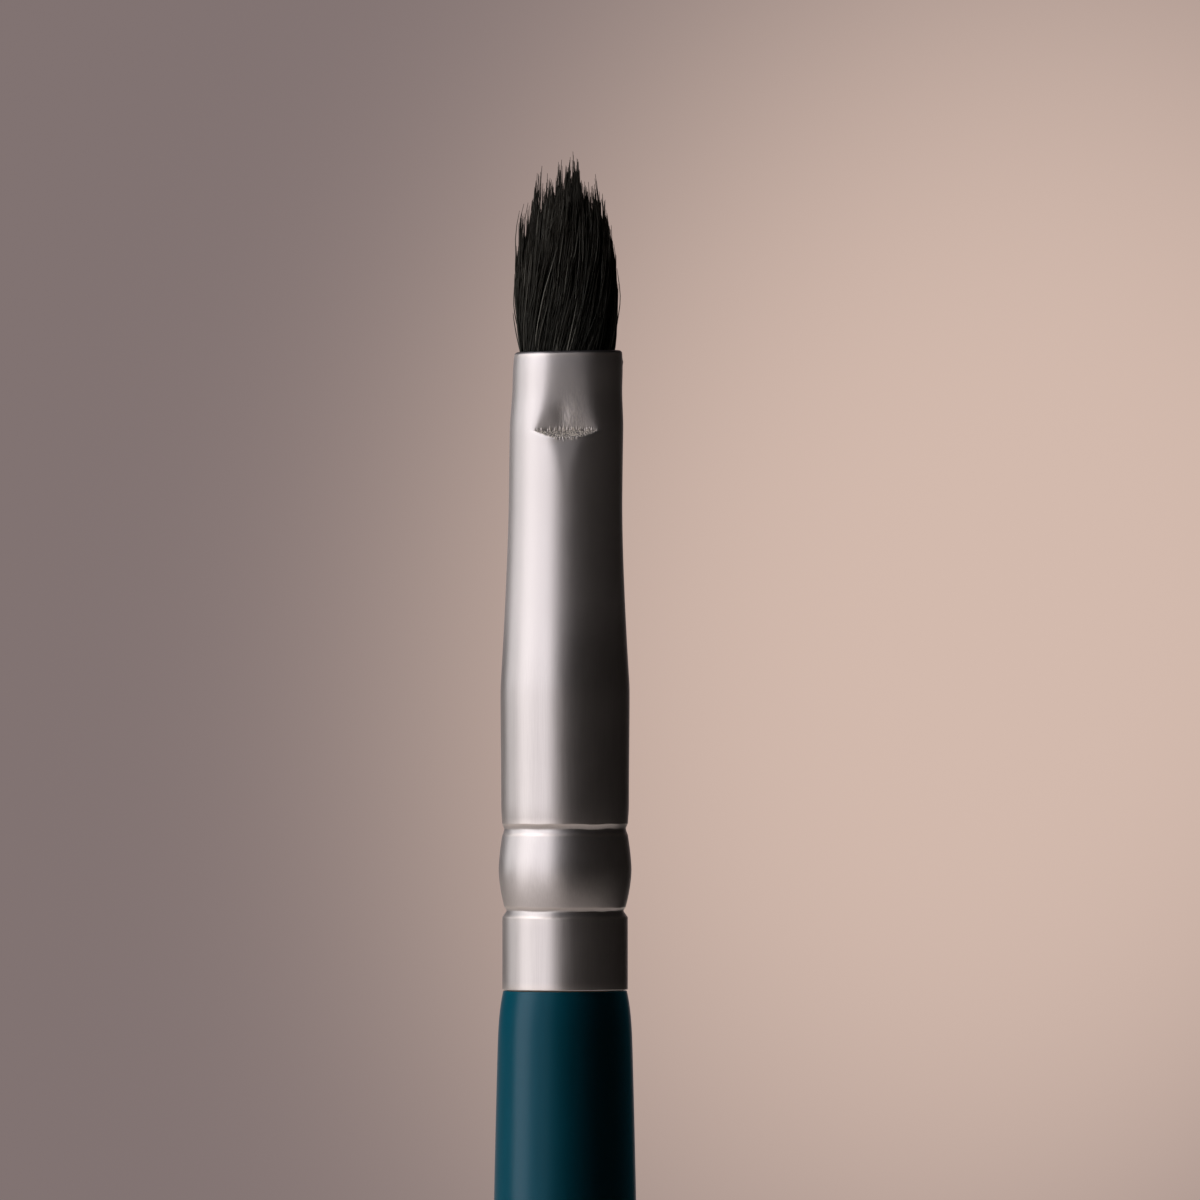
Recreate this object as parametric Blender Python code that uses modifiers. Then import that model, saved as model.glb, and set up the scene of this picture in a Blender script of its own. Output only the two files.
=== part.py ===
"""Makeup brush: a slim eye brush with a lacquered wooden handle, a crimped metal ferrule and a domed hair tuft.

Units are metres. The brush stands along +Z, hair up, with the middle of its flat butt face at the origin.
The face with the jaw mark that a user sees looks along -Y; the other jaw mark is opposite it.
"""

import math

import bmesh
import bpy
import numpy as np

# Fits between pieces that touch on the real brush
FIT_GAP = 0.00005
BOND_GAP = 0.00003

# Handle, from its butt end up to the ferrule
HANDLE_LENGTH = 0.1285
BUTT_FLAT_RADIUS = 0.0011
BUTT_ROUND = 0.0014
TAIL_RADIUS = 0.0023
SWELL_RADIUS = 0.0038
SWELL_DROP = 0.034
SHOULDER_STEP = 0.00003
SHOULDER_ROUND = 0.00018
SHOULDER_RUN = 0.004
LACQUER = 0.00015

# Tenon, the part of the handle that is glued and crimped into the ferrule
TENON_LENGTH = 0.0125
SPIGOT_LENGTH = 0.002
SPIGOT_STEP = 0.0004
SPIGOT_CHAMFER = 0.0003
GLUE_CAP = 0.0005

# Ferrule, a drawn tube; its heights run from its lower edge or down from its mouth
FERRULE_LENGTH = 0.032
FERRULE_WALL = 0.00022
COLLAR_RADIUS = 0.00311
COLLAR_HEIGHT = 0.0039
BEAD_HEIGHT = 0.00417
BEAD_BULGE = 0.00019
BEAD_LOWER_FALL = 0.00027
BEAD_UPPER_FALL = 0.00019
GROOVE_HALF_WIDTH = 0.00028
LOWER_GROOVE_DEPTH = 0.00024
UPPER_GROOVE_DEPTH = 0.0001
GROOVE_EASE = 0.0005
BODY_FLARE = 0.00006
BODY_SWELL = 0.000095
BODY_LENGTH = 0.0153
NECK_RADIUS = 0.00282
NECK_LENGTH = 0.0075
MOUTH_NARROWING = 0.00016
MOUTH_RUN = 0.0034

# Jaw marks, pressed into the front and the back of the ferrule to grip the hair
MARK_DROP = 0.00407
MARK_DEPTH = 0.0005
MARK_RAMP = 0.0006
MOUTH_FLAT_DEPTH = 0.00014

# Hair: the root inside the ferrule, tied and set in glue, and the tuft above the mouth
ROOT_LENGTH = 0.012
ROOT_RECESS = 0.0003
ROOT_FLARE = 0.0018
TIE_MARGIN = 0.0005
THREAD_DIAMETER = 0.00025
THREAD_PITCH = 0.0007
PLUG_FLOOR = 0.001
PLUG_WALL = 0.00025
TUFT_LENGTH = 0.0097
STRAND_GAP = 0.00002
RIM_GAP = 0.00004
STRAND_EMBED = 0.0004

# Counts, angles and shares
MM_PER_METRE = 1000
TURN_STEPS = 32
THREAD_TURNS = 4
POINTS_PER_TURN = 24
STRAND_COUNT = 330
STRAND_SIDES = 3
LOCK_COUNT = 34
GAP_LEVELS = 60
SEED = 7
GOLDEN_ANGLE = math.radians(137.508)
SHARP_ANGLE = math.radians(35)
BUTT_ANGLES = tuple(math.radians(angle) for angle in (0, 30, 60, 90))
RIM_ANGLES = tuple(math.radians(angle) for angle in (45, 90, 135))
SWELL_SHARES = (0.0, 0.03, 0.06, 0.12, 0.3, 0.6)
TAIL_SHARES = (1.0, 0.8, 0.6, 0.42, 0.25, 0.1)
BEAD_SHARES = (-0.6, -0.3, 0.0, 0.3, 0.6)
GROOVE_SIDE_SHARE = 0.4
TAPER_SHARES = (0.22, 0.48, 0.74)
TAPER_POWER = 1.5
MARK_SHARES = (1.0, 0.6, 0.25)
FLAT_SHARES = (0.0, 0.12, 0.3, 0.6)
FLAT_POWER = 4
MARK_SOFT_SHARE = 0.25
STRAND_RING_SHARES = (0.3, 0.6)
STRAND_THICKNESS_SHARES = (1.0, 1.0, 0.72)
STRAND_SPACING_SHARE = 1.6
BULGE_SHARE = 0.15
BULGE_POWER = 0.6
CLOSE_SHARE = 0.12
DOME_SHARE = 0.3
DOME_POWER = 3.2
LENGTH_SPREAD_SHARE = 0.05
LOCK_PULL_SHARE = 0.5

# Sizes that follow from the ones above
MERGE_DISTANCE = BOND_GAP / 100
FERRULE_SEAT = HANDLE_LENGTH + FIT_GAP
SHOULDER_RADIUS = COLLAR_RADIUS - SHOULDER_STEP
TENON_RADIUS = COLLAR_RADIUS - FERRULE_WALL - FIT_GAP
SPIGOT_RADIUS = TENON_RADIUS - SPIGOT_STEP
LOWER_GROOVE = COLLAR_HEIGHT
UPPER_GROOVE = COLLAR_HEIGHT + BEAD_HEIGHT
BEAD_RADIUS = COLLAR_RADIUS + BEAD_BULGE
BODY_RADIUS = COLLAR_RADIUS + BODY_SWELL
NECK_HEIGHT = FERRULE_LENGTH - NECK_LENGTH
MARK_HEIGHT = FERRULE_LENGTH - MARK_DROP
MOUTH_RADIUS = NECK_RADIUS - MOUTH_NARROWING
RIM_ROUND = FERRULE_WALL / 2
RIM_HEIGHT = FERRULE_LENGTH - RIM_ROUND
ROOT_TOP = FERRULE_LENGTH - ROOT_RECESS
ROOT_BOTTOM = FERRULE_LENGTH - ROOT_LENGTH
TIE_HEIGHT = THREAD_TURNS * THREAD_PITCH + 2 * TIE_MARGIN
PLUG_TOP = ROOT_BOTTOM + TIE_HEIGHT

# Finishes: base colour, roughness, metallic
LACQUER_FINISH = ((0.011, 0.078, 0.104, 1.0), 0.38, 0.0)
METAL_FINISH = ((0.66, 0.645, 0.64, 1.0), 0.32, 1.0)
WOOD_FINISH = ((0.62, 0.45, 0.28, 1.0), 0.6, 0.0)
HAIR_FINISH = ((0.012, 0.011, 0.009, 1.0), 0.5, 0.0)
THREAD_FINISH = ((0.75, 0.72, 0.66, 1.0), 0.8, 0.0)
GLUE_FINISH = ((0.72, 0.62, 0.4, 1.0), 0.25, 0.0)


def clear_scene():
    for old in list(bpy.data.objects):
        bpy.data.objects.remove(old)


def new_collection(name):
    collection = bpy.data.collections.new(name)
    bpy.context.scene.collection.children.link(collection)
    return collection


def add_empty(name, collection, height):
    empty = bpy.data.objects.new(name, None)
    empty.location.z = height
    collection.objects.link(empty)
    return empty


def new_material(name, finish):
    colour, roughness, metallic = finish
    material = bpy.data.materials.new(name)
    material.use_nodes = True
    shader = material.node_tree.nodes["Principled BSDF"]
    shader.inputs["Base Color"].default_value = colour
    shader.inputs["Roughness"].default_value = roughness
    shader.inputs["Metallic"].default_value = metallic
    material.diffuse_color = colour
    return material


def add_object(name, data, collection, parent):
    obj = bpy.data.objects.new(name, data)
    collection.objects.link(obj)
    obj.parent = parent
    return obj


def turned(name, outline, collection, parent):
    """A lathe shape from (radius, height) points down its outer side. Its ends on the axis are flat."""
    count = len(outline)
    edges = [(i, (i + 1) % count) for i in range(count)]
    edges = [(i, j) for i, j in edges if outline[i][0] or outline[j][0]]
    profile = bpy.data.meshes.new(name)
    profile.from_pydata([(radius, 0.0, height) for radius, height in outline], edges, [])
    obj = add_object(name, profile, collection, parent)
    screw = obj.modifiers.new("Turn", "SCREW")
    screw.axis = "Z"
    screw.angle = math.tau
    screw.steps = TURN_STEPS
    screw.render_steps = TURN_STEPS
    screw.use_merge_vertices = True
    screw.merge_threshold = MERGE_DISTANCE
    bpy.context.view_layer.update()
    graph = bpy.context.evaluated_depsgraph_get()
    obj.data = bpy.data.meshes.new_from_object(obj.evaluated_get(graph))
    obj.modifiers.clear()
    join_flat_ends(obj.data)
    obj.data.shade_smooth()
    obj.data.set_sharp_from_angle(angle=SHARP_ANGLE)
    return obj


def join_flat_ends(mesh):
    """Makes one face of each fan of triangles round a point on the axis."""
    shape = bmesh.new()
    shape.from_mesh(mesh)
    middles = [vert for vert in shape.verts if math.hypot(vert.co.x, vert.co.y) < MERGE_DISTANCE]
    bmesh.ops.dissolve_verts(shape, verts=middles)
    shape.to_mesh(mesh)
    shape.free()


def handle_radius(height):
    """Outer radius of the lacquered handle: a long tail, a swell, and a rounded shoulder under the ferrule."""
    swell_height = HANDLE_LENGTH - SWELL_DROP
    if height <= swell_height:
        along = height / swell_height
        return SWELL_RADIUS - (SWELL_RADIUS - TAIL_RADIUS) * (1 - along) ** 2
    down = HANDLE_LENGTH - height
    neck = SHOULDER_RADIUS + SHOULDER_ROUND
    rounding = SHOULDER_ROUND * max(0.0, 1 - down / SHOULDER_RUN) ** 3
    return SWELL_RADIUS - (SWELL_RADIUS - neck) * (1 - down / SWELL_DROP) ** 2 - rounding


def handle_outline(inset):
    """The handle's side from its shoulder down to the middle of its butt, with its surface moved in by inset."""
    swell_height = HANDLE_LENGTH - SWELL_DROP
    tail_length = swell_height - BUTT_ROUND
    heights = [HANDLE_LENGTH - share * SWELL_DROP for share in SWELL_SHARES]
    heights += [BUTT_ROUND + share * tail_length for share in TAIL_SHARES]
    points = [(handle_radius(height) - inset, height) for height in heights]
    corner = handle_radius(BUTT_ROUND) - BUTT_FLAT_RADIUS
    for angle in BUTT_ANGLES:
        radius = BUTT_FLAT_RADIUS + (corner - inset) * math.cos(angle)
        height = BUTT_ROUND - (BUTT_ROUND - inset) * math.sin(angle)
        points.append((radius, height))
    points.append((0.0, inset))
    return points


def groove_points(height, depth, below, above):
    """(height, radius) points of a rolled groove; below and above are how far it runs and the radius it meets."""
    floor = COLLAR_RADIUS - depth
    points = [(height, floor)]
    for side, (run, radius) in ((-1, below), (1, above)):
        flank = floor + GROOVE_SIDE_SHARE * (radius - floor)
        points.append((height + side * GROOVE_HALF_WIDTH / 2, flank))
        points.append((height + side * run, radius))
    return sorted(points)


def ferrule_outline():
    """Outer (height, radius) points of the ferrule, from its lower edge to the start of its rounded rim."""
    bead_low = (GROOVE_HALF_WIDTH, BEAD_RADIUS - BEAD_LOWER_FALL)
    bead_high = (GROOVE_HALF_WIDTH, BEAD_RADIUS - BEAD_UPPER_FALL)
    collar_side = (GROOVE_EASE, COLLAR_RADIUS)
    points = [(0.0, COLLAR_RADIUS)]
    points += groove_points(LOWER_GROOVE, LOWER_GROOVE_DEPTH, collar_side, bead_low)
    middle = (LOWER_GROOVE + UPPER_GROOVE) / 2
    half = BEAD_HEIGHT / 2 - GROOVE_HALF_WIDTH
    for share in BEAD_SHARES:
        fall = BEAD_UPPER_FALL if share > 0 else BEAD_LOWER_FALL
        points.append((middle + share * half, BEAD_RADIUS - fall * share**2))
    points += groove_points(UPPER_GROOVE, UPPER_GROOVE_DEPTH, bead_high, collar_side)
    points.append((UPPER_GROOVE + 2 * GROOVE_EASE, COLLAR_RADIUS + BODY_FLARE))
    points.append((BODY_LENGTH, BODY_RADIUS))
    for share in TAPER_SHARES:
        radius = NECK_RADIUS + (BODY_RADIUS - NECK_RADIUS) * (1 - share) ** TAPER_POWER
        points.append((BODY_LENGTH + share * (NECK_HEIGHT - BODY_LENGTH), radius))
    points.append((NECK_HEIGHT, NECK_RADIUS))
    points += [(MARK_HEIGHT - share * MARK_RAMP, NECK_RADIUS) for share in MARK_SHARES]
    for share in FLAT_SHARES:
        height = MARK_HEIGHT + share * (RIM_HEIGHT - MARK_HEIGHT)
        narrowed = max(0.0, 1 - (RIM_HEIGHT - height) / MOUTH_RUN) ** TAPER_POWER
        points.append((height, NECK_RADIUS - MOUTH_NARROWING * narrowed))
    points.append((RIM_HEIGHT, MOUTH_RADIUS))
    return points


def ferrule_radius(height):
    """Outer radius of the ferrule at a height above its lower edge, before the jaws press it."""
    heights, radii = zip(*ferrule_outline())
    return float(np.interp(height, heights, radii))


def filling_radius(height):
    """Radius of what fills the ferrule's bore at a height."""
    return ferrule_radius(height) - FERRULE_WALL - FIT_GAP


def heights_between(low, high):
    """Heights of the ferrule's points between two others, from the top down."""
    return [height for height, _ in reversed(ferrule_outline()) if low < height < high]


def mark_depth(height):
    """How deep the jaws press the ferrule at a height: a short ramp, a crease, and a flat that fades to the mouth."""
    if height < MARK_HEIGHT:
        return MARK_DEPTH * max(0.0, 1 - (MARK_HEIGHT - height) / MARK_RAMP)
    share = (height - MARK_HEIGHT) / (FERRULE_LENGTH - MARK_HEIGHT)
    return MOUTH_FLAT_DEPTH + (MARK_DEPTH - MOUTH_FLAT_DEPTH) * (1 - share) ** FLAT_POWER


def press(mesh):
    """Moves the points of a round mesh to where the jaws leave them: front and back go flat from the mark up."""
    for vertex in mesh.vertices:
        depth = mark_depth(vertex.co.z)
        reach = math.hypot(vertex.co.x, vertex.co.y)
        if depth == 0.0 or reach == 0.0:
            continue
        outer = ferrule_radius(vertex.co.z)
        over = outer * abs(vertex.co.y) / reach - (outer - depth)
        shift = (over + math.hypot(over, MARK_SOFT_SHARE * depth)) / 2
        vertex.co.y -= math.copysign(min(shift, abs(vertex.co.y)), vertex.co.y)


def make_handle_core(collection, parent):
    """The turned wood: a tenon with two rings pressed into it by the ferrule's grooves, and the handle's body."""
    step = TENON_LENGTH - SPIGOT_LENGTH - SPIGOT_STEP
    tenon = [
        (0.0, TENON_LENGTH),
        (SPIGOT_RADIUS - SPIGOT_CHAMFER, TENON_LENGTH),
        (SPIGOT_RADIUS, TENON_LENGTH - SPIGOT_CHAMFER),
        (SPIGOT_RADIUS, step + SPIGOT_STEP),
    ]
    for height in (step, *heights_between(0.0, step), -FIT_GAP - BOND_GAP):
        tenon.append((min(TENON_RADIUS, filling_radius(height)), height))
    body = handle_outline(LACQUER + BOND_GAP)
    shoulder = (body[0][0], body[0][1] - BOND_GAP)
    outline = [(radius, height + FERRULE_SEAT) for radius, height in tenon]
    core = turned("handle_core", [*outline, shoulder, *body[1:]], collection, parent)
    core.data.materials.append(new_material("turned_wood", WOOD_FINISH))


def make_lacquer_coat(collection, parent):
    """The dipped coat of lacquer, from the shoulder under the ferrule round the butt."""
    outline = handle_outline(0.0) + handle_outline(LACQUER)[::-1]
    coat = turned("lacquer_coat", outline, collection, parent)
    coat.data.materials.append(new_material("teal_lacquer", LACQUER_FINISH))


def make_ferrule(collection, parent):
    """The drawn tube with its two rolled grooves, its bead and its half-round rim, pressed front and back."""
    outer = [(radius, height) for height, radius in ferrule_outline()]
    inner = [(radius - FERRULE_WALL, height) for radius, height in outer]
    middle = MOUTH_RADIUS - RIM_ROUND
    rim = [
        (middle - RIM_ROUND * math.cos(angle), RIM_HEIGHT + RIM_ROUND * math.sin(angle))
        for angle in RIM_ANGLES
    ]
    ferrule = turned("ferrule", inner + rim + outer[::-1], collection, parent)
    press(ferrule.data)
    ferrule.data.materials.append(new_material("satin_metal", METAL_FINISH))


def make_tenon_glue(collection, parent):
    """The glue that the tenon pushed ahead of itself, a cap over its end."""
    roof = TENON_LENGTH + FIT_GAP
    top = roof + GLUE_CAP
    bottom = TENON_LENGTH - SPIGOT_LENGTH + FIT_GAP
    inner = SPIGOT_RADIUS + FIT_GAP
    outline = [(0.0, top)]
    for height in (top, *heights_between(bottom, top), bottom):
        outline.append((filling_radius(height), height))
    outline += [(inner, bottom), (inner, roof), (0.0, roof)]
    glue = turned("tenon_glue", outline, collection, parent)
    glue.data.materials.append(new_material("tenon_glue", GLUE_FINISH))


def tie_radius():
    """Radius of the hair under the thread, which leaves room for the thread and the glue's wall round it."""
    return filling_radius(PLUG_TOP) - PLUG_WALL - THREAD_DIAMETER - 2 * FIT_GAP


def make_glue_plug(collection, parent):
    """The glue poured on the tied hair, a cup that holds the butt of the hair and its thread."""
    floor = ROOT_BOTTOM - FIT_GAP
    bottom = floor - PLUG_FLOOR
    cup = filling_radius(PLUG_TOP) - PLUG_WALL
    outline = [(0.0, floor), (cup, floor), (cup, PLUG_TOP)]
    for height in (PLUG_TOP, *heights_between(bottom, PLUG_TOP), bottom):
        outline.append((filling_radius(height), height))
    outline.append((0.0, bottom))
    glue = turned("glue_plug", outline, collection, parent)
    glue.data.materials.append(new_material("hair_glue", GLUE_FINISH))


def make_binding_thread(collection, parent):
    """The thread that ties the hair: one unbroken helix inside the glue."""
    radius = tie_radius() + FIT_GAP + THREAD_DIAMETER / 2
    start = ROOT_BOTTOM + TIE_MARGIN
    turns = np.arange(THREAD_TURNS * POINTS_PER_TURN + 1) / POINTS_PER_TURN
    angles = turns * math.tau
    heights = start + turns * THREAD_PITCH
    points = np.stack((radius * np.cos(angles), radius * np.sin(angles), heights), axis=1)
    curve = bpy.data.curves.new("binding_thread", "CURVE")
    curve.dimensions = "3D"
    curve.bevel_depth = THREAD_DIAMETER / 2
    curve.bevel_resolution = 1
    curve.use_fill_caps = True
    spline = curve.splines.new("POLY")
    spline.points.add(len(points) - 1)
    for spot, place in zip(spline.points, points):
        spot.co = (*place, 1.0)
    curve.materials.append(new_material("cotton_thread", THREAD_FINISH))
    add_object("binding_thread", curve, collection, parent)
    print_thread_gap(points)


def print_thread_gap(points):
    """Measures how near the thread comes to its own next turn."""
    half_turn = POINTS_PER_TURN // 2
    nearest = min(
        float(np.linalg.norm(points[i + half_turn :] - points[i], axis=1).min())
        for i in range(len(points) - half_turn)
    )
    print(f"thread: least gap to itself {MM_PER_METRE * (nearest - THREAD_DIAMETER):.3f} mm")


def make_hair(collection, cutters, parent):
    """The hair: a root that fills the pressed bore and is tied at its butt, and strands that stand out of it."""
    flare_top = PLUG_TOP + FIT_GAP + ROOT_FLARE
    outline = [(0.0, ROOT_TOP)]
    for height in (ROOT_TOP, *heights_between(flare_top, ROOT_TOP), flare_top):
        outline.append((filling_radius(height), height))
    outline += [(tie_radius(), PLUG_TOP + FIT_GAP), (tie_radius(), ROOT_BOTTOM), (0.0, ROOT_BOTTOM)]
    hair = turned("hair_tuft", outline, collection, parent)
    press(hair.data)
    hair.data.materials.append(new_material("black_hair", HAIR_FINISH))
    union = hair.modifiers.new("Strands", "BOOLEAN")
    union.operation = "UNION"
    union.object = make_strands(cutters, parent)


def make_strands(collection, parent):
    """All strands of the tuft in one mesh. They follow one flow, so that none crosses another."""
    half_width, half_depth, strand_radius = tuft_section()
    locks = [spiral_place(i, LOCK_COUNT) for i in range(LOCK_COUNT)]
    spread = np.random.default_rng(SEED)
    paths = []
    mesh = bpy.data.meshes.new("strands")
    shape = bmesh.new()
    for i in range(STRAND_COUNT):
        place = spiral_place(i, STRAND_COUNT)
        lock = min(locks, key=lambda centre: math.dist(centre, place))
        dome = 1 - DOME_SHARE * float(np.hypot(*place)) ** DOME_POWER
        length = TUFT_LENGTH * dome * (1 + LENGTH_SPREAD_SHARE * spread.uniform(-1, 1))
        heights = [0.0, *[share * TUFT_LENGTH for share in STRAND_RING_SHARES], length]
        path = [strand_place(place, lock, height, half_width, half_depth) for height in heights]
        path[0][2] -= STRAND_EMBED
        add_strand(shape, path, strand_radius, spread.uniform(0, math.tau))
        paths.append(path)
    shape.to_mesh(mesh)
    shape.free()
    print_strand_gap(np.array(paths), strand_radius)
    strands = add_object("strands", mesh, collection, parent)
    strands.hide_render = True
    strands.display_type = "WIRE"
    return strands


def tuft_section():
    """Half width and half depth of the field of strands in the pressed mouth, and the radius of a strand."""
    room = filling_radius(RIM_HEIGHT)
    spacing = STRAND_SPACING_SHARE * (room - MOUTH_FLAT_DEPTH) / math.sqrt(STRAND_COUNT)
    strand_radius = (spacing - STRAND_GAP) / 2
    half_width = room - strand_radius - RIM_GAP
    return half_width, half_width - MOUTH_FLAT_DEPTH, strand_radius


def spiral_place(index, count):
    """One of many evenly spread places in a circle of radius 1, laid out as the seeds of a sunflower are."""
    reach = math.sqrt((index + 0.5) / count)
    angle = index * GOLDEN_ANGLE
    return np.array((reach * math.cos(angle), reach * math.sin(angle)))


def strand_place(place, lock, height, half_width, half_depth):
    """Where a strand is at a height over the root: the tuft bulges, then closes, and its strands draw into locks."""
    share = height / TUFT_LENGTH
    wide = 1 + BULGE_SHARE * math.sin(math.pi * share**BULGE_POWER) - CLOSE_SHARE * share**2
    drawn = place + (lock - place) * LOCK_PULL_SHARE * share**2
    x, y = drawn * wide
    return np.array((x * half_width, y * half_depth, ROOT_TOP + height))


def add_strand(shape, path, strand_radius, turn):
    """One strand: a section with STRAND_SIDES corners at each place of its path, drawn out to a point at the last."""
    angles = [turn + side * math.tau / STRAND_SIDES for side in range(STRAND_SIDES)]
    rings = []
    for place, share in zip(path, STRAND_THICKNESS_SHARES):
        radius = share * strand_radius
        corners = [place + (radius * math.cos(angle), radius * math.sin(angle), 0.0) for angle in angles]
        rings.append([shape.verts.new(corner) for corner in corners])
    tip = shape.verts.new(path[-1])
    shape.faces.new(rings[0][::-1])
    for side in range(STRAND_SIDES):
        after = (side + 1) % STRAND_SIDES
        for low, high in zip(rings, rings[1:]):
            shape.faces.new((low[side], low[after], high[after], high[side]))
        shape.faces.new((rings[-1][side], rings[-1][after], tip))


def print_strand_gap(paths, strand_radius):
    """Measures how near any two strands come to each other, at many heights from the root to the tips."""
    shares = (*STRAND_THICKNESS_SHARES, 0.0)
    least = math.inf
    for height in np.linspace(ROOT_TOP, ROOT_TOP + TUFT_LENGTH, GAP_LEVELS):
        sections = []
        for path in paths:
            if height < path[-1][2]:
                across = [np.interp(height, path[:, 2], path[:, axis]) for axis in (0, 1)]
                sections.append((*across, strand_radius * np.interp(height, path[:, 2], shares)))
        sections = np.array(sections)
        for i, (x, y, radius) in enumerate(sections[:-1]):
            others = sections[i + 1 :]
            apart = np.hypot(others[:, 0] - x, others[:, 1] - y) - others[:, 2] - radius
            least = min(least, float(apart.min()))
    size = MM_PER_METRE * strand_radius
    print(f"strands: {len(paths)} of radius {size:.3f} mm, least gap {MM_PER_METRE * least:.3f} mm")


def main():
    clear_scene()
    brush = new_collection("makeup_brush")
    cutters = new_collection("cutters")
    handle_axis = add_empty("handle_axis", brush, 0.0)
    ferrule_seat = add_empty("ferrule_seat", brush, FERRULE_SEAT)
    make_handle_core(brush, handle_axis)
    make_lacquer_coat(brush, handle_axis)
    make_ferrule(brush, ferrule_seat)
    make_tenon_glue(brush, ferrule_seat)
    make_glue_plug(brush, ferrule_seat)
    make_binding_thread(brush, ferrule_seat)
    make_hair(brush, cutters, ferrule_seat)


main()
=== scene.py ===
import math

import bpy
import numpy as np
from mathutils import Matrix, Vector, noise


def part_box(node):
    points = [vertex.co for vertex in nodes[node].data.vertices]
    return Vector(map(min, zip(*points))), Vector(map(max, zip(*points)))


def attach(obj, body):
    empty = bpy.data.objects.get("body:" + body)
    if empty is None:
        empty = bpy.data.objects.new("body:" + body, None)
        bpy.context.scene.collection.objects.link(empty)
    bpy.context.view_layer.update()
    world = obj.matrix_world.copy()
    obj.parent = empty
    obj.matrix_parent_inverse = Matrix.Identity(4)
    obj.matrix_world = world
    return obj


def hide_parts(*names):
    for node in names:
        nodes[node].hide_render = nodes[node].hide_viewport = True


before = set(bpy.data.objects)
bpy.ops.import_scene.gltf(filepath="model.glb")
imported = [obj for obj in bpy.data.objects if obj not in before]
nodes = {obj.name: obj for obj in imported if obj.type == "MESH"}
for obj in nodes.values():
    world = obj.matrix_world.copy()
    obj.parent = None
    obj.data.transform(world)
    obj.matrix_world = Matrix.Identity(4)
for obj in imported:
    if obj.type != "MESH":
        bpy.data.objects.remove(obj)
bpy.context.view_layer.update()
scene = bpy.context.scene
mm = 0.001
print("frame loaded:", ", ".join(sorted(nodes)))

# The two fixed places that every piece is set against
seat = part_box("ferrule")[0].z  # lower edge of the ferrule
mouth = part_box("ferrule")[1].z  # its upper edge, where the hair comes out
tubeLength = mouth - seat


# Nodes, in shader trees and geometry trees alike

def plug(tree, socket, value):
    if isinstance(value, bpy.types.NodeSocket):
        tree.links.new(value, socket)
    else:
        socket.default_value = value


def inUse(sockets):
    return [socket for socket in sockets if socket.enabled]


def addNode(tree, kind, inputs=None, **settings):
    node = tree.nodes.new(kind)
    for name, value in settings.items():
        setattr(node, name, value)
    for key, value in (inputs or {}).items():
        named = {socket.name: socket for socket in inUse(node.inputs)}
        plug(tree, named[key] if isinstance(key, str) else node.inputs[key], value)
    return node


def toolsFor(tree):
    # Short ways to add a node, of any kind or for sums, and get its first output in use
    def out(kind, inputs=None, **settings):
        return inUse(addNode(tree, kind, inputs, **settings).outputs)[0]

    def mathsOf(kind):
        def work(operation, *values):
            node = addNode(tree, kind, operation=operation)
            for socket, value in zip(inUse(node.inputs), values):
                plug(tree, socket, value)
            return inUse(node.outputs)[0]
        return work

    def times(one, other):
        return calc("MULTIPLY", one, other)

    calc, vec = mathsOf("ShaderNodeMath"), mathsOf("ShaderNodeVectorMath")
    return out, calc, times, vec


def newTree(name, kind, inputs, outputs, outputKind):
    # Its named inputs take their kinds from their first values: float, int or material
    tree = bpy.data.node_groups.new(name, kind)
    for key, value in inputs.items():
        socketKind = "NodeSocket" + type(value).__name__.capitalize()
        socket = tree.interface.new_socket(key, in_out="INPUT", socket_type=socketKind)
        socket.default_value = value
    for key in outputs:
        tree.interface.new_socket(key, in_out="OUTPUT", socket_type="NodeSocket" + outputKind)
    return tree, addNode(tree, "NodeGroupInput").outputs


def rangeOf(tree, value, fromLow=0.0, fromHigh=1.0, low=0.0, high=1.0, curve="LINEAR"):
    inputs = {"Value": value, "From Min": fromLow, "From Max": fromHigh, "To Min": low, "To Max": high}
    return addNode(tree, "ShaderNodeMapRange", inputs, interpolation_type=curve).outputs[0]


def noiseAt(tree, place, scale, detail):
    return addNode(tree, "ShaderNodeTexNoise", {"Vector": place, "Scale": scale, "Detail": detail}).outputs[0]


def objectPlace(tree):
    return addNode(tree, "ShaderNodeTexCoord").outputs["Object"]


def drawnNoise(tree, width, length, detail):
    # Noise drawn out along Z
    out, calc, _, vec = toolsFor(tree)
    across = calc("DIVIDE", 1.0, width)
    stretch = out("ShaderNodeCombineXYZ", {"X": across, "Y": across, "Z": calc("DIVIDE", 1.0, length)})
    return noiseAt(tree, vec("MULTIPLY", objectPlace(tree), stretch), 1.0, detail)


# Shader node group for metal, lacquer, wood and the root of the hair: fine streaks along Z, soft blotches

grainInputs = {
    "Streak Width": 0.1 * mm, "Streak Length": 3 * mm, "Blotch Size": 4 * mm, "Blotch Share": 0.3,
    "Contrast": 1.0,
}


def makeGrainGroup():
    tree, given = newTree("lengthwise grain", "ShaderNodeTree", grainInputs, ["Streaks", "Mask"], "Float")
    out, calc, times, _ = toolsFor(tree)
    streaks = drawnNoise(tree, given["Streak Width"], given["Streak Length"], detail=3.0)
    blotches = noiseAt(tree, objectPlace(tree), calc("DIVIDE", 1.0, given["Blotch Size"]), detail=2.0)
    soft = times(calc("SUBTRACT", blotches, 0.5), given["Blotch Share"])
    both = calc("MULTIPLY_ADD", calc("ADD", calc("SUBTRACT", streaks, 0.5), soft), given["Contrast"], 0.5)
    addNode(tree, "NodeGroupOutput", {"Streaks": streaks, "Mask": out("ShaderNodeClamp", {"Value": both})})
    return tree


grainGroup = makeGrainGroup()
print("shader group made")


# Materials. Each grain gives the values of grainInputs in their order. A pair under rough gives the
# roughness where the mask is 0 and where it is 1

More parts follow.
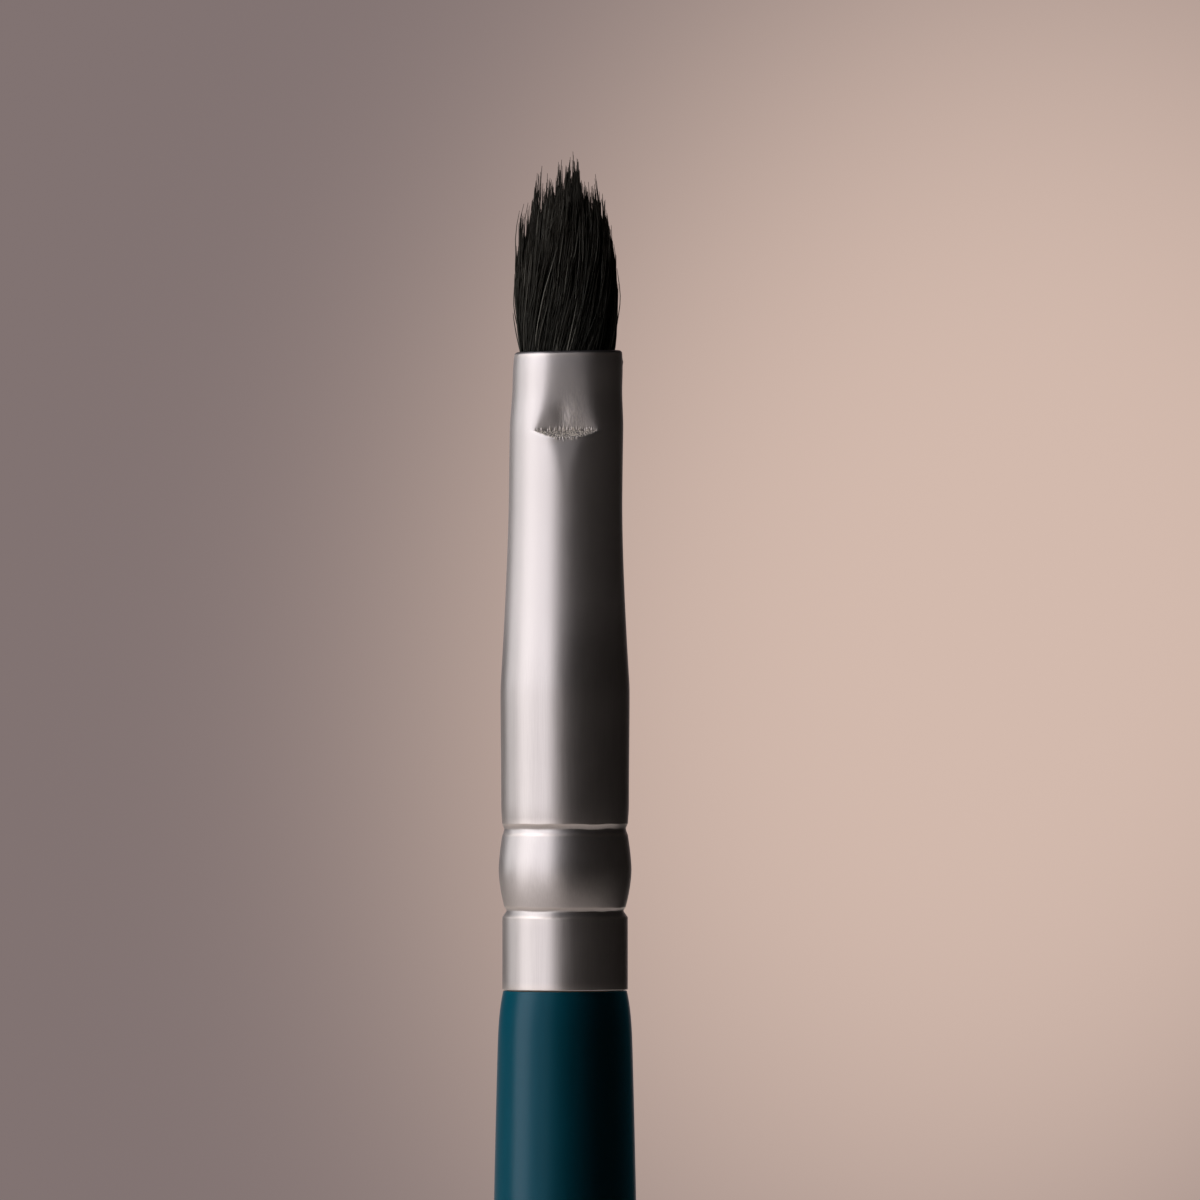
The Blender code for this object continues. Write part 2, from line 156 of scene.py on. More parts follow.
def newMaterial(name, look):
    material = bpy.data.materials.new(name)
    material.use_nodes = True
    shader = material.node_tree.nodes["Principled BSDF"]
    setShader(material.node_tree, shader, look.get("fixed", {}))
    return material, material.node_tree, shader


def setShader(tree, shader, values):
    for key, value in values.items():
        plug(tree, shader.inputs[key], value)


def placeGrain(tree, values):
    return addNode(tree, "ShaderNodeGroup", dict(zip(grainInputs, values)), node_tree=grainGroup).outputs


def readAttribute(tree, name):
    return addNode(tree, "ShaderNodeAttribute", attribute_name=name).outputs["Fac"]


def blendColours(tree, factor, under, over):
    node = addNode(tree, "ShaderNodeMix", {"Factor": factor, "A": under, "B": over}, data_type="RGBA")
    return inUse(node.outputs)[0]


def lookRough(tree, look, mask):
    rough = look["rough"]
    return rangeOf(tree, mask, low=rough[0], high=rough[1]) if isinstance(rough, tuple) else rough


def dressShader(tree, shader, look, mask, height, roughMask=None):
    # Two colours, the roughness and a low bump
    bump = addNode(tree, "ShaderNodeBump", {"Distance": look["height"], "Height": height})
    setShader(tree, shader, {
        "Base Color": blendColours(tree, mask, look["darkColour"], look["paleColour"]),
        "Roughness": lookRough(tree, look, roughMask or mask), "Normal": bump.outputs[0]})


# The third colour here is a painted shade for the top of the rim, and the fourth a painted highlight for the
# neck and the upper bead
satinMetal = dict(
    darkColour=(0.60, 0.585, 0.58, 1), paleColour=(0.72, 0.705, 0.70, 1), rimShadeColour=(0.24, 0.235, 0.25, 1),
    paintedHighlightColour=(0.77, 0.755, 0.755, 1), lipColour=(0.94, 0.895, 0.86, 1), lipShare=0.65,
    rubbedColour=(0.90, 0.85, 0.76, 1), pitColour=(0.22, 0.20, 0.19, 1), pitShare=0.7,
    rough=(0.34, 0.40), rubbedRough=0.66, rubbedLoss=0.6, highlightHaze=0.12, hazePower=3.0,
    grain=(0.05 * mm, 2.6 * mm, 3 * mm, 0.5, 1.2), height=0.0012 * mm,
    fleckWidth=0.07 * mm, fleckLength=0.28 * mm, fleckHeight=0.025 * mm, fleckLow=0.43, fleckHigh=0.55,
)


def makeSatinMetal():
    look = satinMetal
    material, tree, shader = newMaterial("satinMetal", look)
    out, calc, times, _ = toolsFor(tree)
    grain = placeGrain(tree, look["grain"])
    rubbed, paintedHighlight, edge, rimShade = (
        readAttribute(tree, name) for name in ("rubbed", "paintedHighlight", "edge", "rimShade"))
    # Bright flecks and dark pits, longer than wide, where the jaws rubbed the metal
    flecks = drawnNoise(tree, look["fleckWidth"], look["fleckLength"], detail=2.0)
    bright = times(rangeOf(tree, flecks, look["fleckLow"], look["fleckHigh"]), rubbed)
    hollow = rangeOf(tree, calc("SUBTRACT", 1.0, flecks), look["fleckLow"], look["fleckHigh"])
    pits = times(hollow, rubbed)
    rise = times(flecks, rubbed)
    # Layers over the grain: the painted highlight on the neck and upper bead, the polished lips, the painted
    # shade at the top of the rim, pits and flecks
    layers = dict(
        paintedHighlightColour=paintedHighlight, lipColour=times(edge, look["lipShare"]), rimShadeColour=rimShade,
        pitColour=times(pits, look["pitShare"]), rubbedColour=bright)
    colour = blendColours(tree, grain["Mask"], look["darkColour"], look["paleColour"])
    for name, share in layers.items():
        colour = blendColours(tree, share, colour, look[name])
    haze = calc("POWER", paintedHighlight, look["hazePower"])
    rough = calc("MULTIPLY_ADD", haze, look["highlightHaze"], lookRough(tree, look, grain["Mask"]))
    fine = out("ShaderNodeBump", {"Distance": look["height"], "Height": grain["Streaks"]})
    setShader(tree, shader, {
        "Base Color": colour,
        "Roughness": out("ShaderNodeMix", {"Factor": rise, "A": rough, "B": look["rubbedRough"]}),
        "Metallic": calc("MULTIPLY_ADD", bright, -look["rubbedLoss"], 1.0),
        "Normal": out("ShaderNodeBump", {"Distance": look["fleckHeight"], "Height": rise, "Normal": fine})})
    return material


tealLacquer = dict(
    darkColour=(0.0015, 0.190, 0.288, 1), paleColour=(0.0022, 0.225, 0.342, 1), rough=(0.27, 0.32),
    grain=(0.35 * mm, 3 * mm, 6 * mm, 0.8, 1.0), height=0.0015 * mm,
    fixed={"Specular IOR Level": 0.56, "Specular Tint": (0.60, 0.80, 1.0, 1)},
)
rootHair = dict(
    darkColour=(0.006, 0.005, 0.005, 1), paleColour=(0.018, 0.015, 0.013, 1), rough=0.55,
    grain=(0.07 * mm, 6 * mm, 2 * mm, 0.3, 1.6), height=0.02 * mm,
)


def makeGrained(name, look):
    material, tree, shader = newMaterial(name, look)
    grain = placeGrain(tree, look["grain"])
    dressShader(tree, shader, look, grain["Mask"], grain["Streaks"])
    return material


# The pale colour of the hair is a painted highlight: the few grey hairs stand for the streaks of shine on
# black hair
blackHair = dict(
    darkColour=(0.0044, 0.0044, 0.0035, 1), paleColour=(0.25, 0.245, 0.21, 1),
    tipColour=(0.030, 0.023, 0.016, 1), glintPower=8.0, tipPower=4.0, tipShare=0.7, rough=(0.50, 0.28),
    fixed={"Specular IOR Level": 0.40, "Specular Tint": (0.93, 0.98, 0.88, 1)},
)


def makeBlackHair():
    look = blackHair
    material, tree, shader = newMaterial("blackHair", look)
    _, calc, times, _ = toolsFor(tree)
    along = readAttribute(tree, "hairAlong")
    tone = calc("POWER", readAttribute(tree, "hairTone"), look["glintPower"])  # most hairs black; a few painted grey, a painted highlight standing for streaks of shine
    body = blendColours(tree, tone, look["darkColour"], look["paleColour"])
    tip = times(calc("POWER", along, look["tipPower"]), look["tipShare"])
    setShader(tree, shader, {
        "Base Color": blendColours(tree, tip, body, look["tipColour"]),
        "Roughness": lookRough(tree, look, tone)})
    return material


turnedWood = dict(
    darkColour=(0.46, 0.30, 0.16, 1), paleColour=(0.70, 0.53, 0.35, 1), rough=(0.68, 0.50),
    grain=(0.3 * mm, 9 * mm, 1.6 * mm, 0.5, 1.8), height=0.01 * mm,
    ringSize=1.6 * mm, ringBend=2.5, ringDetail=2.0, ringDetailScale=0.4, ringShare=0.4,
)


def makeTurnedWood():
    look = turnedWood
    material, tree, shader = newMaterial("turnedWood", look)
    _, calc, times, _ = toolsFor(tree)
    grain = placeGrain(tree, look["grain"])
    rings = addNode(tree, "ShaderNodeTexWave", {
        "Vector": objectPlace(tree), "Scale": 1 / look["ringSize"] / math.tau, "Distortion": look["ringBend"],
        "Detail": look["ringDetail"], "Detail Scale": look["ringDetailScale"]},
        wave_type="BANDS", bands_direction="X").outputs["Fac"]
    share = look["ringShare"]
    tone = calc("MULTIPLY_ADD", rings, share, times(grain["Mask"], 1 - share))
    dressShader(tree, shader, look, tone, grain["Streaks"], grain["Mask"])
    return material


amberGlue = dict(
    darkColour=(0.50, 0.36, 0.16, 1), paleColour=(0.80, 0.70, 0.46, 1), rough=(0.12, 0.34),
    cloudSize=2.5 * mm, bubbleSize=0.5 * mm, height=0.02 * mm, fixed={"IOR": 1.5, "Coat Weight": 0.3},
)


def makeAmberGlue():
    look = amberGlue
    material, tree, shader = newMaterial("amberGlue", look)
    place = objectPlace(tree)
    clouds = noiseAt(tree, place, 1 / look["cloudSize"], detail=3.0)
    bubbles = addNode(tree, "ShaderNodeTexVoronoi", {"Vector": place, "Scale": 1 / look["bubbleSize"]})
    dressShader(tree, shader, look, clouds, bubbles.outputs[0])
    return material


cottonThread = dict(
    darkColour=(0.58, 0.54, 0.46, 1), paleColour=(0.84, 0.81, 0.74, 1), rough=0.85, fibreSize=0.03 * mm,
    height=0.01 * mm, fixed={"Sheen Weight": 0.3},
)


def makeCottonThread():
    look = cottonThread
    material, tree, shader = newMaterial("cottonThread", look)
    fibres = noiseAt(tree, objectPlace(tree), 1 / look["fibreSize"], detail=2.0)
    dressShader(tree, shader, look, fibres, fibres)
    return material


materials = dict(
    satinMetal=makeSatinMetal(), tealLacquer=makeGrained("tealLacquer", tealLacquer),
    blackHair=makeBlackHair(), rootHair=makeGrained("rootHair", rootHair), turnedWood=makeTurnedWood(),
    amberGlue=makeAmberGlue(), cottonThread=makeCottonThread(),
)
print("materials made:", ", ".join(materials))


# Meshes. Turned pieces are rings of points, from an outline of (radius, height)

sharpAngle = math.radians(40)  # steeper edges aren't smoothed


def addObject(name, data):
    piece = bpy.data.objects.new(name, data)
    scene.collection.objects.link(piece)
    return piece


def newMesh(name, points, faces, material):
    mesh = bpy.data.meshes.new(name)
    mesh.from_pydata(points, [], faces)
    mesh.materials.append(material)
    return mesh


def ringPoints(outline, angles):
    radii, heights = np.array(outline).T
    across, deep = np.outer(radii, np.cos(angles)), np.outer(radii, np.sin(angles))
    return np.stack((across, deep, np.repeat(heights[:, None], len(angles), axis=1)), axis=2)


def skinRings(name, rings, material, looped):
    rowCount, stepCount = rings.shape[:2]
    places = np.arange(rowCount * stepCount).reshape(rowCount, stepCount)
    upper = places if looped else places[:-1]
    lower = np.roll(places, -1, axis=0) if looped else places[1:]
    faces = np.stack((upper, lower, np.roll(lower, -1, axis=1), np.roll(upper, -1, axis=1)), axis=2)
    faceList = faces.reshape(-1, 4).tolist()
    if not looped:
        faceList += [places[0].tolist(), places[-1][::-1].tolist()]  # flat caps over the axis
    mesh = newMesh(name, rings.reshape(-1, 3).tolist(), faceList, material)
    mesh.shade_smooth()
    mesh.set_sharp_from_angle(angle=sharpAngle)
    return addObject(name, mesh)


def axesOf(rings):
    # The x, y and z of every point, as views that write through
    return np.moveaxis(rings, 2, 0)


def writeAttribute(mesh, name, values):
    attribute = mesh.attributes.new(name, "FLOAT", "POINT")
    attribute.data.foreach_set("value", np.asarray(values, np.float32).ravel())


def evenSteps(count):
    return np.arange(count) * math.tau / count


def smoothStep(low, high, value):
    share = np.clip((value - low) / (high - low), 0, 1)
    return share * share * (3 - 2 * share)


def mixed(low, high, share):
    return low + (high - low) * share


# Ferrule. Its heights run from its lower edge, which sits on the seat

tube = dict(
    wall=0.25 * mm, collarRadius=3.145 * mm, lowerRound=0.05 * mm, rimRound=0.19 * mm, innerRows=90,
    lowerGroove=3.95 * mm, lowerFloor=2.935 * mm, lowerAbove=0.16 * mm, lowerBelow=0.29 * mm,
    upperGroove=8.06 * mm, upperFloor=3.05 * mm, upperAbove=0.24 * mm, upperBelow=0.26 * mm,
    grooveSoft=0.03 * mm, beadRadius=3.33 * mm, beadMiddle=6.05 * mm, beadHalf=1.95 * mm,
    beadLowFall=0.30 * mm, beadHighFall=0.225 * mm, beadLowPower=1.75, beadHighPower=1.5,
    flareRadius=3.202 * mm, flareRun=1.2 * mm, bodyRadius=3.236 * mm, bodyStart=9 * mm, bodyEnd=15.2 * mm,
    neckRadius=2.845 * mm, neckStart=24.5 * mm, neckPower=1.5, neckLead=0.2, shoulderSoft=0.012 * mm,
    pinch=0.095 * mm, pinchRun=2.2 * mm, rollIn=0.06 * mm, rollRun=1.1 * mm,
    # Slant of the grooves and the mouth, lean of the neck, a burr, and the grooves' uneven run
    lowerSlope=-0.003, upperSlope=0.003, slopeEnd=12.06 * mm, mouthSlope=0.020, mouthSlopeRun=6 * mm,
    leanStart=18 * mm, lean=0.165 * mm, leanPower=2.5, burrDrop=0.6 * mm, burrSize=0.1 * mm,
    burrHeight=0.035 * mm, wobbleSize=0.7 * mm, wobbleHeight=0.035 * mm, wobbleReach=0.6 * mm,
    leastWobble=0.01,
    # The jaws' mark
    markDrop=4.0 * mm, markDepth=0.52 * mm, markRamp=0.50 * mm, rampPower=1.5, markTail=0.07 * mm,
    tailRun=0.6 * mm, tailSoft=0.05 * mm, leastSoft=0.01, flatDepth=0.20 * mm, flatPower=3,
    softCrease=0.11 * mm, softMouth=0.30 * mm, softPower=0.45, dishShare=0.12, dentAcross=-0.22 * mm,
    dentRise=0.72 * mm, dentWide=0.38 * mm, dentTall=0.60 * mm, dentDepth=0.05 * mm,
    frontHalf=math.radians(40), frontSteps=120, otherSteps=150,
)
markHeight = tubeLength - tube["markDrop"]
# Wear: where the metal is rubbed, ridged and polished by the tools; and painted light: a painted highlight on
# the neck and the upper bead, and a painted shade along the top of the rim
wear = dict(
    overSoft=0.03 * mm, rampRise=0.2 * mm, creaseBelow=0.05 * mm, creaseAbove=0.2 * mm, creaseRagged=2,
    flatBelow=0.1 * mm, flatAbove=3.0 * mm, flatShare=0.3, middleAcross=0.25 * mm, middleHalf=0.75 * mm,
    middlePower=3, backShare=0.8, raggedStep=0.085 * mm, raggedHeight=0.13 * mm, raggedSlice=3.1,
    ridgeHeight=0.032 * mm, ridgeWidth=0.065 * mm, ridgeLength=0.28 * mm, ridgeSlice=7.3, leastRubbed=0.02,
    fineHeight=0.5, fineAcross=2.1, fineAlong=2.3, fineSlice=1.7, lipHalf=0.08 * mm,
    # Reach and strength of the painted highlight on the neck and the bead, and depth of the painted shade at
    # the top of the rim
    neckBelow=1.6 * mm, neckAbove=4.5 * mm, neckShare=0.8, beadBelow=0.1 * mm, beadAbove=0.8 * mm,
    beadShare=0.45, rimShadeDrop=0.12 * mm, rimShadeFull=0.7,
)


def ferruleRadius(height):
    # Radius of the drawn and rolled tube at a height over the seat, before the jaws press it
    beadShare = (height - tube["beadMiddle"]) / tube["beadHalf"]
    fall = np.where(beadShare > 0, tube["beadHighFall"], tube["beadLowFall"])
    bead = tube["beadRadius"] - fall * np.abs(beadShare) ** np.where(
        beadShare > 0, tube["beadHighPower"], tube["beadLowPower"])
    flareShare = smoothStep(tube["upperGroove"], tube["upperGroove"] + tube["flareRun"], height)
    bodyShare = smoothStep(tube["bodyStart"], tube["bodyEnd"], height)
    flare = mixed(tube["collarRadius"], tube["flareRadius"], flareShare)
    body = flare + (tube["bodyRadius"] - tube["flareRadius"]) * bodyShare
    along = np.clip((height - tube["bodyEnd"]) / (tube["neckStart"] - tube["bodyEnd"]), -tube["neckLead"], 1)
    taper = mixed(tube["neckRadius"], tube["bodyRadius"], (1 - along) ** tube["neckPower"])
    body = (body + taper - np.hypot(body - taper, tube["shoulderSoft"])) / 2  # the lesser, with a soft corner
    onBead = (height > tube["lowerGroove"]) & (height < tube["upperGroove"])
    radius = np.where(onBead, bead, body)
    for groove in ("lower", "upper"):  # a notch with crisp lips and a soft bottom
        away = height - tube[groove + "Groove"]
        run = np.where(away > 0, tube[groove + "Above"], tube[groove + "Below"])
        soft = tube["grooveSoft"]
        share = np.clip(1 - (np.hypot(away, soft) - soft) / run, 0, 1)
        radius = mixed(radius, tube[groove + "Floor"], share)
    radius = radius - tube["pinch"] * smoothStep(markHeight, markHeight + tube["pinchRun"], height)
    roll = 2 * smoothStep(tubeLength - tube["rollRun"], tubeLength + tube["rollRun"], height)  # 1 at the top
    return radius - tube["rollIn"] * roll


def pressDepth(height):
    # How deep the two jaws press the tube at a height over the seat
    drop = markHeight - height
    below = tube["markDepth"] * np.clip(1 - drop / tube["markRamp"], 0, 1) ** tube["rampPower"]
    tail = tube["markTail"] * np.exp(-np.maximum(drop - tube["markRamp"], 0) / tube["tailRun"])
    share = np.clip((height - markHeight) / tube["markDrop"], 0, 1)
    above = mixed(tube["flatDepth"], tube["markDepth"], (1 - share) ** tube["flatPower"])
    return np.where(height < markHeight, np.maximum(below, tail), above)


def pressRings(rings):
    # Front and back go flat where the jaws met them, with a slight dish.
    # Returns how far each point was over the flat
    x, y, z = axesOf(rings)
    heights = z - seat
    depth = pressDepth(heights)
    outer = ferruleRadius(heights)
    sine = np.abs(y) / np.maximum(np.hypot(x, y), 1e-9)
    over = outer * sine - (outer - depth)
    up = np.clip((heights - markHeight) / tube["markDrop"], 0, 1)
    soft = mixed(tube["softCrease"], tube["softMouth"], up ** tube["softPower"])
    soft = soft * np.clip(depth / tube["tailSoft"], tube["leastSoft"], 1)  # round again well below
    shift = (over + np.hypot(over, soft)) / 2 * (1 + tube["dishShare"] * (1 - up)) * (depth > 0)
    wideShare = (x - tube["dentAcross"]) / tube["dentWide"]
    tallShare = (heights - markHeight - tube["dentRise"]) / tube["dentTall"]
    shift += tube["dentDepth"] * np.exp(-wideShare ** 2 - tallShare ** 2)
    y -= np.sign(y) * shift
    return over


def addBurr(rings):
    # A tiny burr at the right of the mouth
    x, y, z = axesOf(rings)
    away = (y ** 2 + (z - mouth + tube["burrDrop"]) ** 2) / tube["burrSize"] ** 2
    x += tube["burrHeight"] * np.exp(-away) * (x > 0)


def leanRings(rings):
    # The neck stands a little to the right of the handle's axis
    x, _, z = axesOf(rings)
    share = np.clip((z - seat - tube["leanStart"]) / (tubeLength - tube["leanStart"]), 0, 1)
    x += tube["lean"] * share ** tube["leanPower"]


def slantAmount(heights):
    # How far each height leans with X: the grooves and the mouth aren't quite square to the tube
    slopes = {
        0: 0, tube["lowerGroove"]: tube["lowerSlope"], tube["upperGroove"]: tube["upperSlope"],
        tube["slopeEnd"]: 0, tubeLength - tube["mouthSlopeRun"]: 0, tubeLength: tube["mouthSlope"]}
    return np.interp(heights, list(slopes), list(slopes.values()))


def ferruleHeights():
    # Rows, close together where the tube bends most
    lower, upper, body = tube["lowerGroove"], tube["upperGroove"], tube["bodyEnd"]
    stops = [  # a height, and the spacing in mm of the rows from there on
        (tube["lowerRound"], 0.4), (lower - 0.4 * mm, 0.02), (lower + 0.3 * mm, 0.16),
        (upper - 0.4 * mm, 0.02), (upper + 0.3 * mm, 0.3), (body - 1 * mm, 0.14), (body + 2 * mm, 0.35),
        (markHeight - 1 * mm, 0.1), (markHeight - 0.5 * mm, 0.03), (markHeight + 0.4 * mm, 0.06),
        (markHeight + 1.6 * mm, 0.1), (tubeLength - tube["rimRound"], 1),
    ]
    heights = []
    for (low, spacing), (high, _) in zip(stops, stops[1:]):
        count = max(1, round((high - low) / (spacing * mm)))
        heights += [low + (high - low) * i / count for i in range(count)]
    return np.array([*heights, stops[-1][0]])


def ferruleAngles():
    # Steps round the tube, close together at the front where the mark is scuffed
    front = tube["frontHalf"]
    fine = np.linspace(-front, front, tube["frontSteps"], endpoint=False)
    rest = np.linspace(front, math.tau - front, tube["otherSteps"], endpoint=False)
    return np.concatenate((fine, rest)) - math.pi / 2


def rubbedShare(rings, local, over):
    # Where the jaws rubbed the metal: most on the ramp under the crease, less on the flat above it
    x, y, _ = axesOf(rings)
    low, creaseTop = markHeight - tube["markRamp"], markHeight + wear["creaseAbove"]
    step, layer = wear["raggedStep"], wear["raggedSlice"]
    uneven = [[noise.noise(Vector((place / step, layer, 0.0))) for place in row] for row in x]
    ragged = wear["raggedHeight"] * np.array(uneven)
    pressed = smoothStep(-wear["overSoft"], wear["overSoft"], over)
    ramp = smoothStep(low, low + wear["rampRise"], local + ragged)
    ramp *= 1 - smoothStep(markHeight - wear["creaseBelow"], creaseTop, local - wear["creaseRagged"] * ragged)
    flat = smoothStep(markHeight - wear["flatBelow"], markHeight, local)
    flat *= 1 - smoothStep(creaseTop, markHeight + wear["flatAbove"], local)
    middle = np.exp(-(np.abs(x - wear["middleAcross"]) / wear["middleHalf"]) ** wear["middlePower"])
    share = pressed * np.clip(ramp + wear["flatShare"] * flat * middle, 0, 1)
    return share * np.where(y < 0, 1, wear["backShare"])


def scuff(rings, rubbed):
    # Fine upright ridges pushed up by the jaws, in two sizes
    for row, step in np.argwhere(rubbed > wear["leastRubbed"]):
        x, y, z = rings[row, step]
        across, along = x / wear["ridgeWidth"], z / wear["ridgeLength"]
        height = noise.noise(Vector((across, wear["ridgeSlice"], along)))
        fine = Vector((across * wear["fineAcross"], wear["fineSlice"], along * wear["fineAlong"]))
        height += wear["fineHeight"] * noise.noise(fine)
        rings[row, step, 1] += math.copysign(wear["ridgeHeight"] * rubbed[row, step] * height, y)


def wobble(rings, local):
    # The rolled grooves run a little unevenly round the tube
    for groove in (tube["lowerGroove"], tube["upperGroove"]):
        near = np.exp(-((local - groove) / tube["wobbleReach"]) ** 2)
        for row in np.flatnonzero(near.max(axis=1) > tube["leastWobble"]):
            for step, (x, y, _) in enumerate(rings[row]):
                shift = noise.noise(Vector((x, y, groove)) / tube["wobbleSize"])
                rings[row, step, 2] += tube["wobbleHeight"] * near[row, step] * shift


def edgeShare(local):
    # Lips that hands and tools polish: the foot, the bend under the rim and both sides of the grooves
    lips = [0, tubeLength - tube["rimRound"]]
    for groove in ("lower", "upper"):
        middle = tube[groove + "Groove"]
        lips += [middle - tube[groove + "Below"], middle + tube[groove + "Above"]]
    return np.max([np.exp(-((local - lip) / wear["lipHalf"]) ** 2) for lip in lips], axis=0)


def burnishedShare(local):
    # Painted highlight: the neck and the upper half of the bead, which face a little up toward the light, are
    # painted brighter than the rest
    neck = smoothStep(tube["bodyEnd"] - wear["neckBelow"], tube["bodyEnd"] + wear["neckAbove"], local)
    bead = smoothStep(tube["beadMiddle"] - wear["beadBelow"], tube["beadMiddle"] + wear["beadAbove"], local)
    bead *= 1 - smoothStep(tube["upperGroove"] - wear["beadBelow"], tube["upperGroove"], local)
    return np.maximum(wear["neckShare"] * neck, wear["beadShare"] * bead)


def makeFerrule():
    heights = ferruleHeights()
    outer = [(ferruleRadius(height), height) for height in heights]
    innerHeights = np.interp(np.linspace(0, 1, tube["innerRows"]), np.linspace(0, 1, len(heights)), heights)
    inner = [(ferruleRadius(height) - tube["wall"], height) for height in innerHeights]
    low, bend = tube["lowerRound"], tube["rimRound"]
    lip, top = tube["wall"] - bend, tubeLength - bend
    quarter = np.radians([15, 30, 45, 60, 75, 90])

    def rounded(radius, height, across, up):
        return [(radius + across * (1 - math.cos(a)), height + up * math.sin(a)) for a in quarter]

    rim = rounded(inner[-1][0], top, lip, bend) + rounded(outer[-1][0], top, -bend, bend)[::-1]
    foot = rounded(outer[0][0], low, -low, -low)
    outline = [(radius, height + seat) for radius, height in (*inner, *rim, *outer[::-1], *foot)]
    rings = ringPoints(outline, ferruleAngles())
    over = pressRings(rings)
    local = rings[:, :, 2] - seat
    outside = np.arange(len(rings))[:, None] >= len(inner) + len(quarter)
    rubbed = rubbedShare(rings, local, over) * outside
    scuff(rings, rubbed)
    addBurr(rings)
    wobble(rings, local)
    rings[:, :, 2] += slantAmount(local) * rings[:, :, 0]
    leanRings(rings)
    ferrule = skinRings("ferruleShell", rings, materials["satinMetal"], looped=True)
    # Painted shade: a dark band along the top of the rim, where its rounded edge turns up
    rimShadeDrop = wear["rimShadeDrop"]
    rimShade = smoothStep(tubeLength - rimShadeDrop, tubeLength - wear["rimShadeFull"] * rimShadeDrop, local)
    shares = dict(rubbed=rubbed, edge=edgeShare(local) * outside, paintedHighlight=burnishedShare(local), rimShade=rimShade)
    for name, share in shares.items():
        writeAttribute(ferrule.data, name, share)
    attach(ferrule, "root")
    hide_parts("ferrule")
    return ferrule


ferruleShell = makeFerrule()
print("ferrule made:", len(ferruleShell.data.polygons), "faces")


# Handle: the lacquer coat over the turned wood

handleSizes = dict(
    swellRadius=3.8 * mm, tailRadius=2.3 * mm, swellDrop=34 * mm, shoulderStep=0.03 * mm,
    shoulderRound=0.20 * mm, shoulderRun=3.2 * mm, collarRadius=3.13 * mm, lacquer=0.15 * mm,
    buttFlat=1.1 * mm, buttRound=1.4 * mm, lipRound=0.04 * mm, cornerTurn=7.5, tailRows=24, steps=160,
)
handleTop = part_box("lacquer_coat")[1].z


def handleRadius(height):
    # Two parabolas that meet at the swell, and a small rounding at the shoulder
    size = handleSizes
    swell, swellHeight = size["swellRadius"], handleTop - size["swellDrop"]
    if height <= swellHeight:
        return swell - (swell - size["tailRadius"]) * (1 - height / swellHeight) ** 2
    down = handleTop - height
    neck = size["collarRadius"] - size["shoulderStep"] + size["shoulderRound"]
    rounding = size["shoulderRound"] * max(0, 1 - down / size["shoulderRun"]) ** 3
    return swell - (swell - neck) * (1 - down / size["swellDrop"]) ** 2 - rounding


def handleOutline(inset):
    # Side of the handle from its shoulder down round the butt, moved in by inset
    size = handleSizes
    drops = (0.1, 0.2, 0.35, 0.5, 0.75, 1, 1.3, 1.7, 2.2, 3, 4, 5, 7, 9, 12, 15, 19, 24, 29)  # in mm
    downs = [size["lipRound"], *(drop * mm for drop in drops), size["swellDrop"]]
    heights = [handleTop - down for down in downs]
    rows, butt = size["tailRows"], size["buttRound"]
    heights += [butt + (heights[-1] - butt) * row / rows for row in range(rows - 1, -1, -1)]
    points = [(handleRadius(height) - inset, height) for height in heights]
    corner = handleRadius(butt) - size["buttFlat"] - inset
    turn = size["cornerTurn"]  # degrees from point to point round the butt's edge
    for angle in np.radians(np.arange(turn, 90.1, turn)):
        points.append((size["buttFlat"] + corner * math.cos(angle), butt - (butt - inset) * math.sin(angle)))
    return points


def makeCoat():
    size = handleSizes
    outer, inner = handleOutline(0.0), handleOutline(size["lacquer"])
    lip = size["lipRound"]
    radius = outer[0][0] - lip
    top = [(radius + lip * math.sin(a), handleTop - lip + lip * math.cos(a)) for a in np.radians((0, 30, 60))]
    outline = [*inner[::-1], (inner[0][0], handleTop), *top, *outer]
    coat = skinRings(
        "lacquerCoat", ringPoints(outline, evenSteps(size["steps"])), materials["tealLacquer"], looped=False)
    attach(coat, "root")
    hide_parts("lacquer_coat")
    return coat


lacquerCoat = makeCoat()
print("coat made:", len(lacquerCoat.data.polygons), "faces")


# Geometry Nodes: a tree is put on a new object, its inputs are set, and the result is kept as a plain mesh

def grow(name, tree, values, replaced):
    piece = addObject(name, bpy.data.meshes.new(name))
    modifier = piece.modifiers.new("grow", "NODES")
    modifier.node_group = tree
    found = {item.name: item.identifier for item in tree.interface.items_tree if item.in_out == "INPUT"}
    for key, value in values.items():
        modifier[found[key]] = value
    bpy.context.view_layer.update()
    graph = bpy.context.evaluated_depsgraph_get()
    grown = bpy.data.meshes.new_from_object(piece.evaluated_get(graph))
    piece.modifiers.clear()
    piece.data = grown
    grown.name = name
    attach(piece, "root")
    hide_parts(replaced)
    print(name, "grown:", len(grown.polygons), "faces")


def endTree(tree, given, skinInputs):
    # Curves get their skin and their material, and go out
    out, *_ = toolsFor(tree)
    skin = out("GeometryNodeCurveToMesh", {**skinInputs, "Fill Caps": True})
    skin = out("GeometryNodeSetShadeSmooth", {"Geometry": skin})
    skin = out("GeometryNodeRealizeInstances", {"Geometry": skin})
    skin = out("GeometryNodeSetMaterial", {"Geometry": skin, "Material": given["Material"]})
    addNode(tree, "NodeGroupOutput", {"Geometry": skin})
    return tree


# Hair: many tapered hairs that stand in the mouth, lean, and draw together into pointed locks

